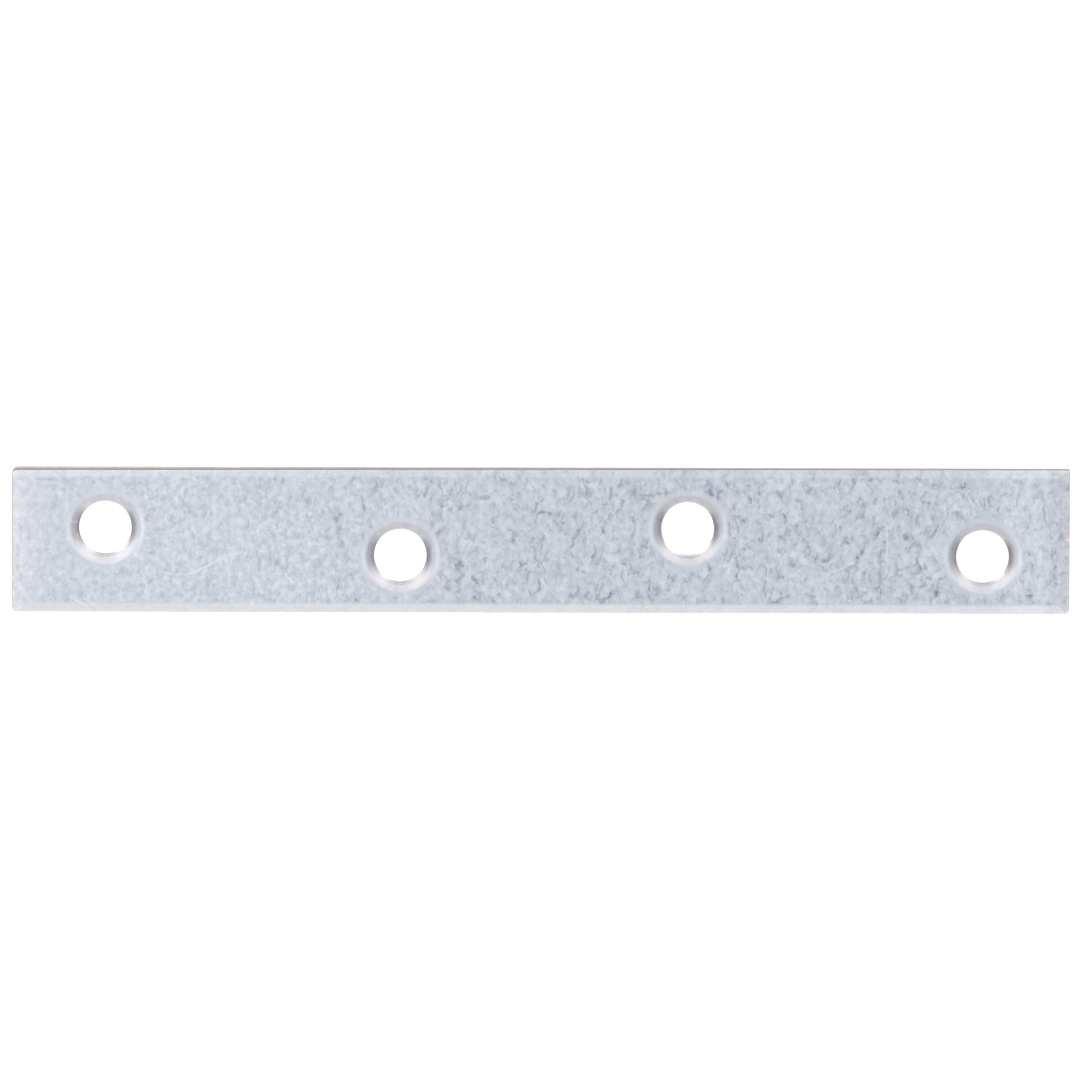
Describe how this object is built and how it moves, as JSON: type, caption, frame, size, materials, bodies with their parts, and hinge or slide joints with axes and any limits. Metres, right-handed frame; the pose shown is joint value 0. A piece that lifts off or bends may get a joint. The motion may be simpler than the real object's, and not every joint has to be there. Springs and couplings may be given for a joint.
{
  "type": "mending plate",
  "caption": "Straight flat steel mending plate with staggered countersunk screw holes, for joining timber end to end.",
  "frame": {"origin": "middle of the back face, which lies on the timber", "axes": "+X along the plate, +Y across it, +Z out of the countersunk front face"},
  "size_m": [0.1, 0.0138, 0.002],
  "materials": {
    "galvanised_steel": "hot-dip galvanised, fine spangle, satin"
  },
  "bodies": {
    "root": {"mending_plate": "galvanised_steel"}
  },
  "joints": []
}
